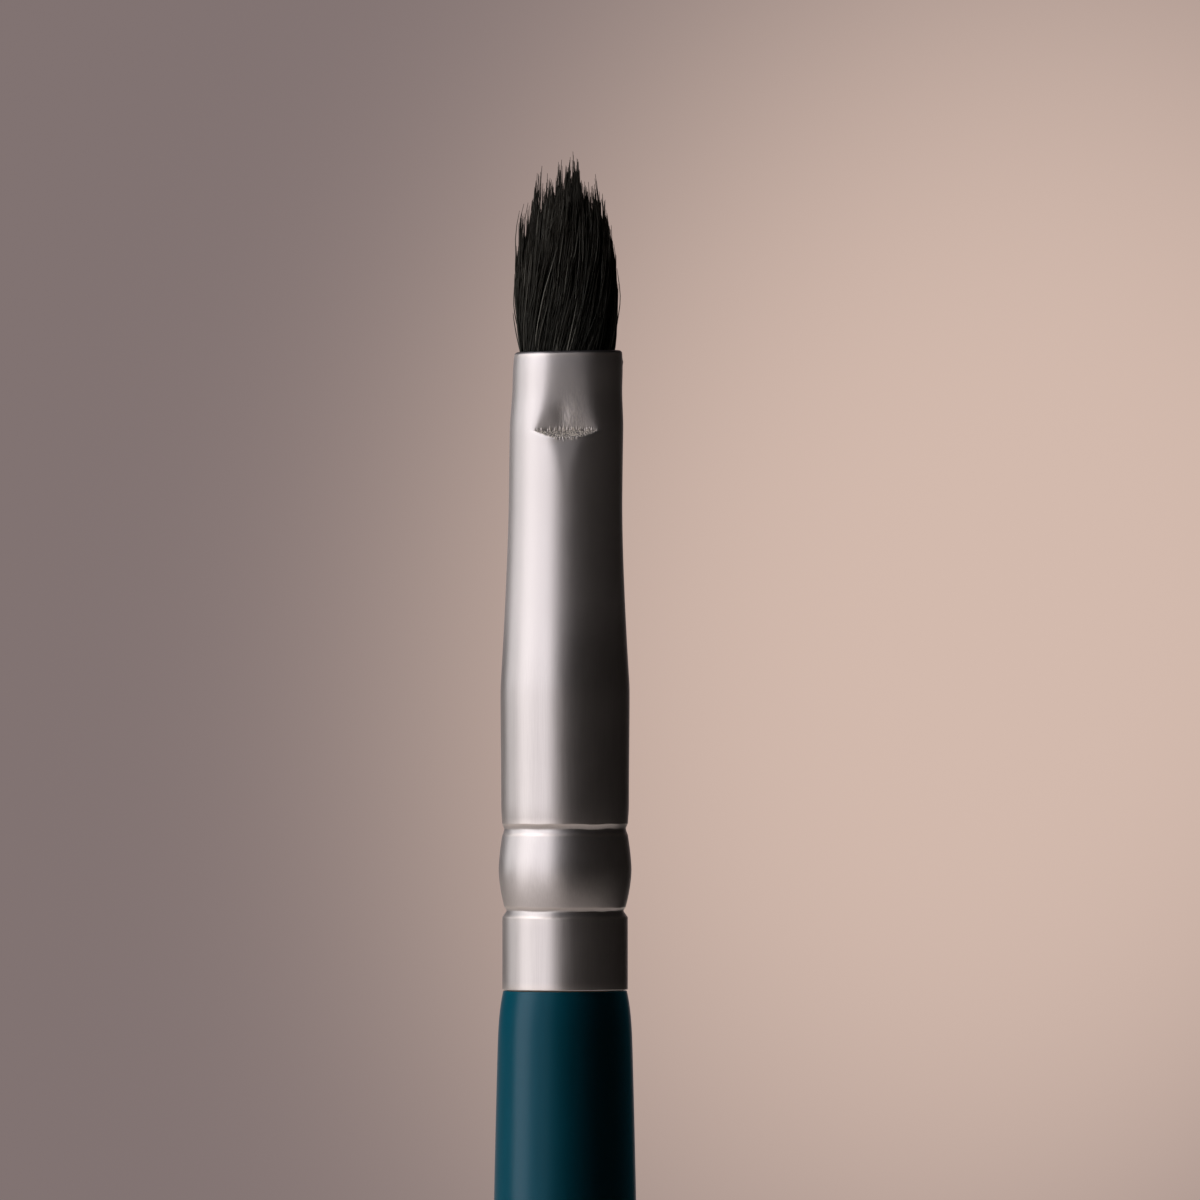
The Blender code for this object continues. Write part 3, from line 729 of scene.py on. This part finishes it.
tuftSizes = {
    "Hair Count": 2200, "Inner Share": 0.0, "Outer Share": 0.76, "Lock Count": 70, "Points": 12, "Seed": 3,
    "Length": 9.9 * mm, "Root Height": mouth - 0.3 * mm, "Root Depth": 0.6 * mm, "Half Width": 2.33 * mm,
    "Half Depth": 2.18 * mm, "Hair Radius": 0.031 * mm, "Length Spread": 0.05, "Lock Spread": 0.16,
    "Lock Pull": 0.95, "Lock Lean": 0.12, "Lock Point": 0.20, "Hair Lean": 0.03, "Wave": 0.22, "Curl": 0.04,
    "Dome": 0.27, "Dome Edge": 0.20, "Bulge": 0.12, "Close": 0.18, "Twist": math.radians(36),
    "Twist Spread": 0.5, "Root Across": tube["lean"] - 0.06 * mm, "Material": materials["blackHair"],
}
hairGroups = dict(
    hairCore={},
    hairOuter={
        "Hair Count": 2400, "Inner Share": 0.76, "Outer Share": 1.0, "Lock Spread": 0.18,
        "Length Spread": 0.24, "Lock Lean": 0.09},
    hairWisps={
        "Hair Count": 230, "Inner Share": 0.86, "Outer Share": 1.0, "Hair Lean": 0.12, "Wave": 0.40,
        "Lock Pull": 0.25, "Length Spread": 0.42, "Curl": 0.07, "Bulge": 0.15, "Hair Radius": 0.030 * mm},
)
# Fixed in the tree: how quickly each effect grows from root to tip or from the middle outwards
hairShape = dict(
    goldenAngle=math.radians(137.508), lockJitter=0.12, hairJitter=0.3, lockLonger=0.6, hairLonger=0.5,
    domePower=2.0, edgePower=10.0, bulgePower=0.8, closePower=2.0, pullPower=1.5, leanPower=1.3,
    waveAcross=9.0, waveAlong=3.5, leastCurl=0.1, curlTurn=6.0, curlStart=4.0, twistPower=2.0,
    thinPower=8.0, thinning=0.6,
)


def makeHairTree():
    tree, given = newTree("hair tuft", "GeometryNodeTree", tuftSizes, ["Geometry"], "Geometry")
    out, calc, times, vec = toolsFor(tree)
    shape = hairShape

    def random(low, high, offset, number=None):
        # Each offset has draws of its own, one per point, or one per number
        values = {"Min": low, "Max": high, "Seed": calc("ADD", given["Seed"], offset)}
        if number is not None:
            values["ID"] = number
        return out("FunctionNodeRandomValue", values, data_type="FLOAT")

    def vector(x, y, z=0.0):
        return out("ShaderNodeCombineXYZ", {"X": x, "Y": y, "Z": z})

    def polar(reach, angle):
        return vector(times(reach, calc("COSINE", angle)), times(reach, calc("SINE", angle)))

    def scatter(count, inner, outer, jitter, offset):
        # Points on a sunflower's spiral between two shares of the radius
        index = out("GeometryNodeInputIndex")
        part = calc("DIVIDE", calc("ADD", index, random(0.0, 1.0, offset)), count)
        low, high = times(inner, inner), times(outer, outer)
        reach = calc("SQRT", calc("MULTIPLY_ADD", part, calc("SUBTRACT", high, low), low))
        angle = calc("MULTIPLY_ADD", index, shape["goldenAngle"], random(-jitter, jitter, offset + 1))
        return out("GeometryNodePoints", {"Count": count, "Position": polar(reach, angle)})

    def leaning(amount, offset, number=None):
        return vector(*(times(random(-1.0, 1.0, offset + i, number), amount) for i in range(2)))

    def aroundOne(low, high, spread, offset, number=None):
        return calc("MULTIPLY_ADD", random(low, high, offset, number), spread, 1.0)

    def stored(name, kind="FLOAT_VECTOR"):
        return out("GeometryNodeInputNamedAttribute", {"Name": name}, data_type=kind)

    # Locks are evenly spread middles, which the hairs near each are drawn to. Each hair starts as one point
    locks = scatter(given["Lock Count"], 0.0, 1.0, shape["lockJitter"], 100)
    points = scatter(
        given["Hair Count"], given["Inner Share"], given["Outer Share"], shape["hairJitter"], 200)
    position = out("GeometryNodeInputPosition")
    lock = out("GeometryNodeSampleNearest", {"Geometry": locks, "Sample Position": position})
    lockPlace = out("GeometryNodeSampleIndex", {
        "Geometry": locks, "Value": position, "Index": lock}, data_type="FLOAT_VECTOR")
    lean = vec("ADD", leaning(given["Lock Lean"], 300, lock), leaning(given["Hair Lean"], 302))
    reach = vec("LENGTH", position)
    fall = times(given["Dome"], calc("POWER", reach, shape["domePower"]))
    edgeFall = times(given["Dome Edge"], calc("POWER", reach, shape["edgePower"]))
    dome = calc("SUBTRACT", 1.0, calc("ADD", fall, edgeFall))
    away = vec("LENGTH", vec("SUBTRACT", position, lockPlace))
    pointed = times(given["Lock Point"], times(away, calc("SQRT", given["Lock Count"])))
    lockLength = aroundOne(-1.0, shape["lockLonger"], given["Lock Spread"], 304, lock)
    hairLength = aroundOne(-1.0, shape["hairLonger"], given["Length Spread"], 305)
    lengthShare = times(dome, calc("SUBTRACT", times(lockLength, hairLength), pointed))
    curl = polar(times(given["Curl"], random(shape["leastCurl"], 1.0, 308)), random(0.0, math.tau, 307))
    vectors = dict(place=position, lock=lockPlace, lean=lean, curl=curl)
    floats = dict(
        share=lengthShare, phase=random(0.0, math.tau, 310),
        turnShare=aroundOne(-1.0, 1.0, given["Twist Spread"], 309), hairTone=random(0.0, 1.0, 306))
    for kind, kept in (("FLOAT_VECTOR", vectors), ("FLOAT", floats)):
        for name, value in kept.items():
            points = out("GeometryNodeStoreNamedAttribute", {
                "Geometry": points, "Name": name, "Value": value}, data_type=kind)
    line = out("GeometryNodeCurvePrimitiveLine", {"End": (0.0, 0.0, 1.0)})
    line = out("GeometryNodeResampleCurve", {"Curve": line, "Count": given["Points"]})
    hairs = out("GeometryNodeInstanceOnPoints", {"Points": points, "Instance": line})
    hairs = out("GeometryNodeRealizeInstances", {"Geometry": hairs})

    # Shape of each hair, from its root to its tip
    along = out("GeometryNodeSplineParameter")
    whole = calc("MULTIPLY_ADD", given["Length"], stored("share", "FLOAT"), given["Root Depth"])
    rise = calc("SUBTRACT", times(along, whole), given["Root Depth"])
    share = calc("MAXIMUM", calc("DIVIDE", rise, given["Length"]), 0.0)
    rounded = calc("SINE", times(math.pi, calc("POWER", share, shape["bulgePower"])))
    closing = times(given["Close"], calc("POWER", share, shape["closePower"]))
    wide = calc("SUBTRACT", calc("MULTIPLY_ADD", given["Bulge"], rounded, 1.0), closing)
    place = stored("place")
    pull = times(given["Lock Pull"], calc("POWER", along, shape["pullPower"]))
    drawn = vec("ADD", place, vec("SCALE", vec("SUBTRACT", stored("lock"), place), pull))
    drawn = vec("ADD", drawn, vec("SCALE", stored("lean"), calc("POWER", share, shape["leanPower"])))
    waveScale = (shape["waveAcross"], shape["waveAcross"], 0.0)
    waveRise = vector(0.0, 0.0, times(share, shape["waveAlong"]))
    wavePlace = vec("ADD", vec("MULTIPLY", place, waveScale), waveRise)
    waves = addNode(tree, "ShaderNodeTexNoise", {"Vector": wavePlace, "Scale": 1.0, "Detail": 1.0})
    waving = vec("SUBTRACT", waves.outputs["Color"], (0.5, 0.5, 0.5))
    waving = vec("SCALE", waving, times(given["Wave"], share))
    bend = calc("SINE", calc("MULTIPLY_ADD", share, shape["curlTurn"], stored("phase", "FLOAT")))
    bend = times(bend, calc("MINIMUM", times(share, shape["curlStart"]), 1.0))
    bent = vec("ADD", drawn, vec("ADD", waving, vec("SCALE", stored("curl"), bend)))
    spread = vec("MULTIPLY", bent, vector(times(wide, given["Half Width"]), times(wide, given["Half Depth"])))
    left = calc("SUBTRACT", 1.0, calc("MINIMUM", share, 1.0))
    turn = times(given["Twist"], calc("SUBTRACT", 1.0, calc("POWER", left, shape["twistPower"])))
    turn = times(turn, stored("turnShare", "FLOAT"))
    turned = out("ShaderNodeVectorRotate", {"Vector": spread, "Angle": turn}, rotation_type="Z_AXIS")
    flat = addNode(tree, "ShaderNodeSeparateXYZ", {"Vector": turned}).outputs
    height = calc("ADD", rise, given["Root Height"])
    place = vector(calc("ADD", flat["X"], given["Root Across"]), flat["Y"], height)
    hairs = out("GeometryNodeSetPosition", {"Geometry": hairs, "Position": place})
    hairs = out("GeometryNodeStoreNamedAttribute", {
        "Geometry": hairs, "Name": "hairAlong", "Value": along}, data_type="FLOAT")
    thin = calc("SUBTRACT", 1.0, times(shape["thinning"], calc("POWER", along, shape["thinPower"])))
    section = out("GeometryNodeCurvePrimitiveCircle", {"Resolution": 3, "Radius": 1.0})
    return endTree(
        tree, given, {"Curve": hairs, "Profile Curve": section, "Scale": times(given["Hair Radius"], thin)})


hairTree = makeHairTree()
for name, own in hairGroups.items():
    grow(name, hairTree, {**tuftSizes, **own}, "hair_tuft")


# Root of the hair inside the ferrule: a ridged bundle, tied at its butt

rootSizes = dict(
    length=12 * mm, recess=0.3 * mm, gap=0.05 * mm, tieTop=3.8 * mm, flare=1.8 * mm, flareRows=40, ridges=96,
    ridgeHeight=0.03 * mm, plugWall=0.25 * mm, threadRoom=0.25 * mm, capShare=0.6, topShare=0.85,
)


def boreRadius(height):
    return ferruleRadius(height) - tube["wall"] - rootSizes["gap"]


def tieRadius():
    size = rootSizes
    plugTop = tubeLength - size["length"] + size["tieTop"]
    return boreRadius(plugTop) - size["plugWall"] - size["threadRoom"] - 2 * size["gap"]


def makeRoot():
    size = rootSizes
    bottom, top = tubeLength - size["length"], tubeLength - size["recess"]
    tie, radius = bottom + size["tieTop"] + size["gap"], tieRadius()
    outline = [(radius * size["capShare"], top), (boreRadius(top) * size["topShare"], top)]
    boreHeights = np.linspace(top, tie + size["flare"], size["flareRows"])
    outline += [(boreRadius(height), height) for height in boreHeights]
    outline += [(radius, tie), (radius, bottom), (radius * size["capShare"], bottom)]
    steps = size["ridges"] * 2
    rings = ringPoints([(radius, height + seat) for radius, height in outline], evenSteps(steps))
    pressRings(rings)
    hollows = np.where(np.arange(steps) % 2, size["ridgeHeight"], 0.0)
    reach = np.hypot(rings[:, :, 0], rings[:, :, 1])
    rings[:, :, :2] *= (1 - hollows[None, :] / reach)[:, :, None]
    leanRings(rings)
    root = skinRings("hairRoot", rings, materials["rootHair"], looped=False)
    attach(root, "root")
    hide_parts("hair_tuft")
    return root


hairRoot = makeRoot()
print("root made:", len(hairRoot.data.polygons), "faces")


# Thread wound round the butt of the hair, two strands laid together

threadMargin, threadWidth = 0.35 * mm, 0.24 * mm
threadSizes = {
    "Turns": 10.0, "Pitch": 0.28 * mm, "Diameter": threadWidth, "Lay Turns": 110.0, "Steps": 48,
    "Section Steps": 12, "Winding Radius": float(tieRadius() + rootSizes["gap"] + threadWidth / 2),
    "Start Height": mouth - rootSizes["length"] + threadMargin, "Waist": 0.55,
    "Material": materials["cottonThread"],
}


def makeThreadTree():
    tree, given = newTree("thread winding", "GeometryNodeTree", threadSizes, ["Geometry"], "Geometry")
    out, calc, times, _ = toolsFor(tree)
    helix = out("GeometryNodeCurveSpiral", {
        "Resolution": given["Steps"], "Rotations": given["Turns"], "Start Radius": given["Winding Radius"],
        "End Radius": given["Winding Radius"], "Height": times(given["Turns"], given["Pitch"])})
    lift = out("ShaderNodeCombineXYZ", {"Z": given["Start Height"]})
    helix = out("GeometryNodeSetPosition", {"Geometry": helix, "Offset": lift})
    lay = times(out("GeometryNodeSplineParameter"), times(given["Lay Turns"], math.tau))
    helix = out("GeometryNodeSetCurveTilt", {"Curve": helix, "Tilt": lay})
    # A round section, drawn in to a waist between its two strands
    section = out("GeometryNodeCurvePrimitiveCircle", {
        "Resolution": given["Section Steps"], "Radius": times(given["Diameter"], 0.5)})
    parts = addNode(tree, "ShaderNodeSeparateXYZ", {"Vector": out("GeometryNodeInputPosition")}).outputs
    side = calc("DIVIDE", calc("ABSOLUTE", parts["X"]), times(given["Diameter"], 0.25))
    inward = times(parts["Y"], calc("ADD", given["Waist"], side))
    waist = calc("MINIMUM", calc("ABSOLUTE", inward), calc("ABSOLUTE", parts["Y"]))
    deep = times(waist, calc("SIGN", parts["Y"]))
    place = out("ShaderNodeCombineXYZ", {"X": parts["X"], "Y": deep})
    section = out("GeometryNodeSetPosition", {"Geometry": section, "Position": place})
    return endTree(tree, given, {"Curve": helix, "Profile Curve": section})


grow("threadWinding", makeThreadTree(), threadSizes, "binding_thread")


# Carried-over nodes, whose shape is right

carriedOver = dict(handle_core="turnedWood", tenon_glue="amberGlue", glue_plug="amberGlue")
for name, finish in carriedOver.items():
    node = nodes[name]
    node.data.materials.clear()
    node.data.materials.append(materials[finish])
print("carried over:", ", ".join(carriedOver))


# Stage: camera, floor, lamps, a dark flag at the right, and the pale backdrop

stageSizes = dict(
    lens=500, distance=835.3 * mm, across=1.75 * mm, down=12.47 * mm, clipStart=0.01, clipEnd=20,
    floorRadius=3.0, floorSteps=96, floorNear=0.06, floorFar=0.8, nearShare=0.4, mirroredShare=0.4,
    flagRadius=0.3, flagFrom=4, flagTo=-156, flagSteps=41, flagHeight=0.7, lampDistance=0.60, lampDown=5 * mm,
    floorLook={"Base Color": (0.72, 0.66, 0.62, 1), "Roughness": 0.9, "Specular IOR Level": 0.1},
    flagLook={"Base Color": (0.02, 0.017, 0.015, 1), "Roughness": 1.0, "Specular IOR Level": 0.0},
    greyBack=(0.219, 0.171, 0.167, 1), paleBack=(0.653, 0.491, 0.419, 1), elsewhere=(0.62, 0.53, 0.48, 1),
    room=(0.014, 0.012, 0.012, 1), ambient=(0.007, 0.0068, 0.0066, 1),
    glowAcross=0.0252, glowUp=-0.0007, glowWide=0.0348, glowTall=0.0462, glowTilt=-0.235, glowPower=1.68,
    seenFrom=0.85, mirroredFrom=0.8, backFull=0.97,
)
# Each lamp: its angle from the camera's side (negative to the left), elevation, width, height, radiance,
# colour, whether it spares the lacquer, and what it lights
lamps = dict(
    rearLamp=(-114, 30, 0.34, 0.85, 0.96, (1.0, 0.95, 0.95), True, "all"),
    keyLamp=(-78, 26, 0.39, 1.15, 1.46, (1.0, 0.935, 0.94), False, "all"),
    sidePanel=(-45, 15, 0.39, 0.80, 0.66, (1.0, 0.93, 0.955), True, "all"),
    frontPanel=(-29, 15, 0.27, 0.80, 0.50, (1.0, 0.93, 0.955), True, "all"),
    softPanel=(-43, 15, 0.40, 0.80, 0.38, (1.0, 0.93, 0.955), False, "shine"),
    backFill=(157, 20, 0.50, 0.90, 0.90, (1.0, 0.95, 0.92), False, "colour"),
)


def makeCamera():
    size = stageSizes
    data = bpy.data.cameras.new("camera")
    data.lens = size["lens"]
    data.clip_start = size["clipStart"]
    data.clip_end = size["clipEnd"]
    camera = addObject("camera", data)
    camera.location = (size["across"], -size["distance"], mouth - size["down"])
    camera.rotation_euler = (math.pi / 2, 0, 0)
    scene.camera = camera


def makeFloor():
    # Lit by the lamps near the brush, where it keeps the shadow, and plain pale beyond their reach
    size = stageSizes
    material, tree, shader = newMaterial("paleFloor", {"fixed": size["floorLook"]})
    out, calc, times, vec = toolsFor(tree)
    away = vec("LENGTH", objectPlace(tree))
    share = rangeOf(tree, away, size["floorNear"], size["floorFar"], size["nearShare"], curve="SMOOTHSTEP")
    rays = addNode(tree, "ShaderNodeLightPath").outputs
    shiny = calc("ADD", rays["Is Glossy Ray"], rays["Is Transmission Ray"])
    plain = calc("MULTIPLY_ADD", shiny, size["mirroredShare"], rays["Is Camera Ray"])
    seen = times(share, calc("MINIMUM", plain, 1.0))
    pale = out("ShaderNodeEmission", {"Color": size["elsewhere"], "Strength": 1.0})
    both = out("ShaderNodeMixShader", {0: seen, 1: shader.outputs[0], 2: pale})
    plug(tree, tree.nodes["Material Output"].inputs["Surface"], both)
    radius, steps = size["floorRadius"], size["floorSteps"]
    points = [(radius * math.cos(a), radius * math.sin(a), 0) for a in evenSteps(steps)]
    floor = addObject("floor", newMesh("floor", points, [tuple(range(steps))], material))
    floor.visible_diffuse = False  # no glow from below on the dark side


def makeFlag():
    # A dark curved wall to the right, seen by metal but not by the camera, so that the brush has a dark side
    size = stageSizes
    points = []
    for angle in np.radians(np.linspace(size["flagFrom"], size["flagTo"], size["flagSteps"])):
        x, y = -math.sin(angle) * size["flagRadius"], -math.cos(angle) * size["flagRadius"]
        points += [(x, y, 0.0), (x, y, size["flagHeight"])]
    faces = [(2 * i, 2 * i + 2, 2 * i + 3, 2 * i + 1) for i in range(size["flagSteps"] - 1)]
    material = newMaterial("flagCloth", {"fixed": size["flagLook"]})[0]
    flag = addObject("flag", newMesh("flag", points, faces, material))
    flag.visible_camera = False
    flag.visible_shadow = False


def makeLamp(name, angle, elevation, width, height, radiance, colour, sparesLacquer, lights):
    data = bpy.data.lights.new(name, "AREA")
    data.shape = "RECTANGLE"
    data.size = width
    data.size_y = height
    data.energy = radiance * math.pi * width * height
    data.color = colour
    lamp = addObject(name, data)
    lamp.visible_camera = False
    lamp.visible_diffuse = lights != "shine"
    lamp.visible_glossy = lights != "colour"
    if sparesLacquer:
        lamp.light_linking.receiver_collection = spared
    turn, lift = math.radians(angle), math.radians(elevation)
    way = Vector((math.sin(turn) * math.cos(lift), -math.cos(turn) * math.cos(lift), math.sin(lift)))
    lamp.location = Vector((0, 0, mouth - stageSizes["lampDown"])) + way * stageSizes["lampDistance"]
    lamp.rotation_euler = way.to_track_quat("Z", "Y").to_euler()


def makeWorld():
    # The camera sees a soft glow behind the brush. Metal sees it too, and a dim room in the other directions
    size = stageSizes
    world = bpy.data.worlds.new("studio")
    scene.world = world
    world.use_nodes = True
    tree = world.node_tree
    tree.nodes.clear()
    out, calc, times, _ = toolsFor(tree)
    way = addNode(tree, "ShaderNodeTexCoord").outputs["Generated"]
    parts = addNode(tree, "ShaderNodeSeparateXYZ", {"Vector": way}).outputs
    across = calc("SUBTRACT", parts["X"], size["glowAcross"])
    up = calc("SUBTRACT", parts["Z"], size["glowUp"])
    sine, cosine = math.sin(size["glowTilt"]), math.cos(size["glowTilt"])
    halfWide, halfTall = size["glowWide"], size["glowTall"]
    wide = calc("MULTIPLY_ADD", across, cosine / halfWide, times(up, sine / halfWide))
    tall = calc("MULTIPLY_ADD", up, cosine / halfTall, times(across, -sine / halfTall))
    away = calc("ADD", times(wide, wide), times(tall, tall))
    glow = calc("EXPONENT", times(calc("POWER", away, size["glowPower"]), -1.0))
    back = blendColours(tree, glow, size["greyBack"], size["paleBack"])

    def background(colour):
        return out("ShaderNodeBackground", {"Color": colour, "Strength": 1.0})

    def behind(start, other):
        # The glow where the ray goes to the back, and another colour elsewhere
        window = rangeOf(tree, parts["Y"], start, size["backFull"], curve="SMOOTHSTEP")
        return background(blendColours(tree, window, other, back))

    rays = addNode(tree, "ShaderNodeLightPath").outputs
    shiny = calc("MINIMUM", calc("ADD", rays["Is Glossy Ray"], rays["Is Transmission Ray"]), 1.0)
    mirrored = behind(size["mirroredFrom"], size["room"])
    unseen = out("ShaderNodeMixShader", {0: shiny, 1: background(size["ambient"]), 2: mirrored})
    seen = behind(size["seenFrom"], size["elsewhere"])
    studio = out("ShaderNodeMixShader", {0: rays["Is Camera Ray"], 1: unseen, 2: seen})
    addNode(tree, "ShaderNodeOutputWorld", {"Surface": studio})


# Three lamps light everything but the lacquer, whose shine would spread too far round the handle
spared = bpy.data.collections.new("sparedByPanels")
spared.objects.link(lacquerCoat)
spared.collection_objects[0].light_linking.link_state = "EXCLUDE"

makeCamera()
makeFloor()
makeFlag()
for name, values in lamps.items():
    makeLamp(name, *values)
makeWorld()
scene.view_settings.view_transform = "Standard"
print("stage made")
